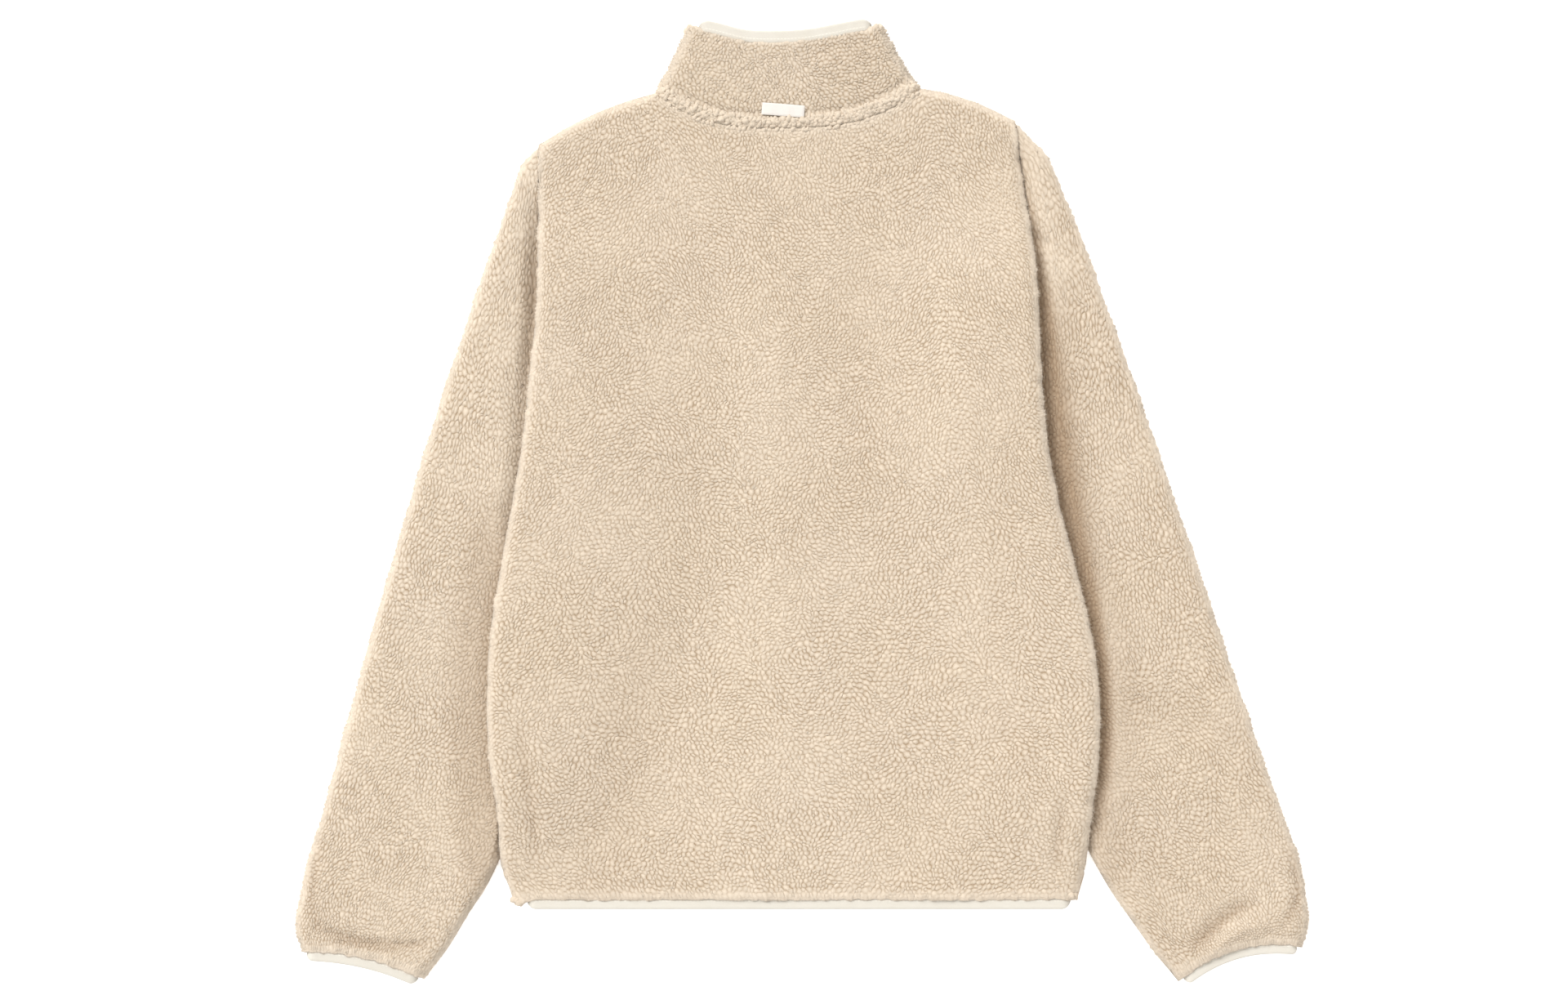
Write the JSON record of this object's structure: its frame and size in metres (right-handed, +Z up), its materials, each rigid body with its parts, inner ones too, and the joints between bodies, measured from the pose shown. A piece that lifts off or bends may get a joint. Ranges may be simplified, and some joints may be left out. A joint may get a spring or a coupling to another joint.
{
  "type": "fleece jacket laid flat",
  "caption": "Sherpa fleece jacket with stand collar, long sleeves and bound edges, laid flat on its zipped front with the back showing.",
  "frame": {"origin": "on the surface the jacket lies on, under the middle of its outline", "axes": "+X towards the wearer's right sleeve, +Y from hem to collar, +Z up from the surface, out of the jacket's back"},
  "size_m": [0.806, 0.7655, 0.0297],
  "materials": {
    "fleece": "deep curly sherpa pile, matt with a soft sheen",
    "binding": "smooth ivory knitted elastic",
    "label": "fine satin weave, blank",
    "zip_tape": "close twill tape",
    "zip_teeth": "moulded satin plastic",
    "zip_metal": "satin plated metal"
  },
  "bodies": {
    "jacket": {"back_panel": "fleece", "front_left": "fleece", "front_right": "fleece", "sleeve_left": "fleece", "sleeve_right": "fleece", "collar": "fleece", "hem_binding": "binding", "collar_binding": "binding", "cuff_binding_left": "binding", "cuff_binding_right": "binding", "neck_label": "label", "zip_tape_left": "zip_tape", "zip_tape_right": "zip_tape", "zip_chain": "zip_teeth", "zip_box": "zip_teeth", "zip_slider": "zip_metal"},
    "pull": {"zip_pull": "zip_metal"}
  },
  "joints": [
    {"name": "pull_hinge", "type": "hinge", "parent": "jacket", "child": "pull", "pos_m": [-0.008, 0.3391, 0.0041], "axis": [1, 0, 0], "range_deg": [0, 170]}
  ]
}
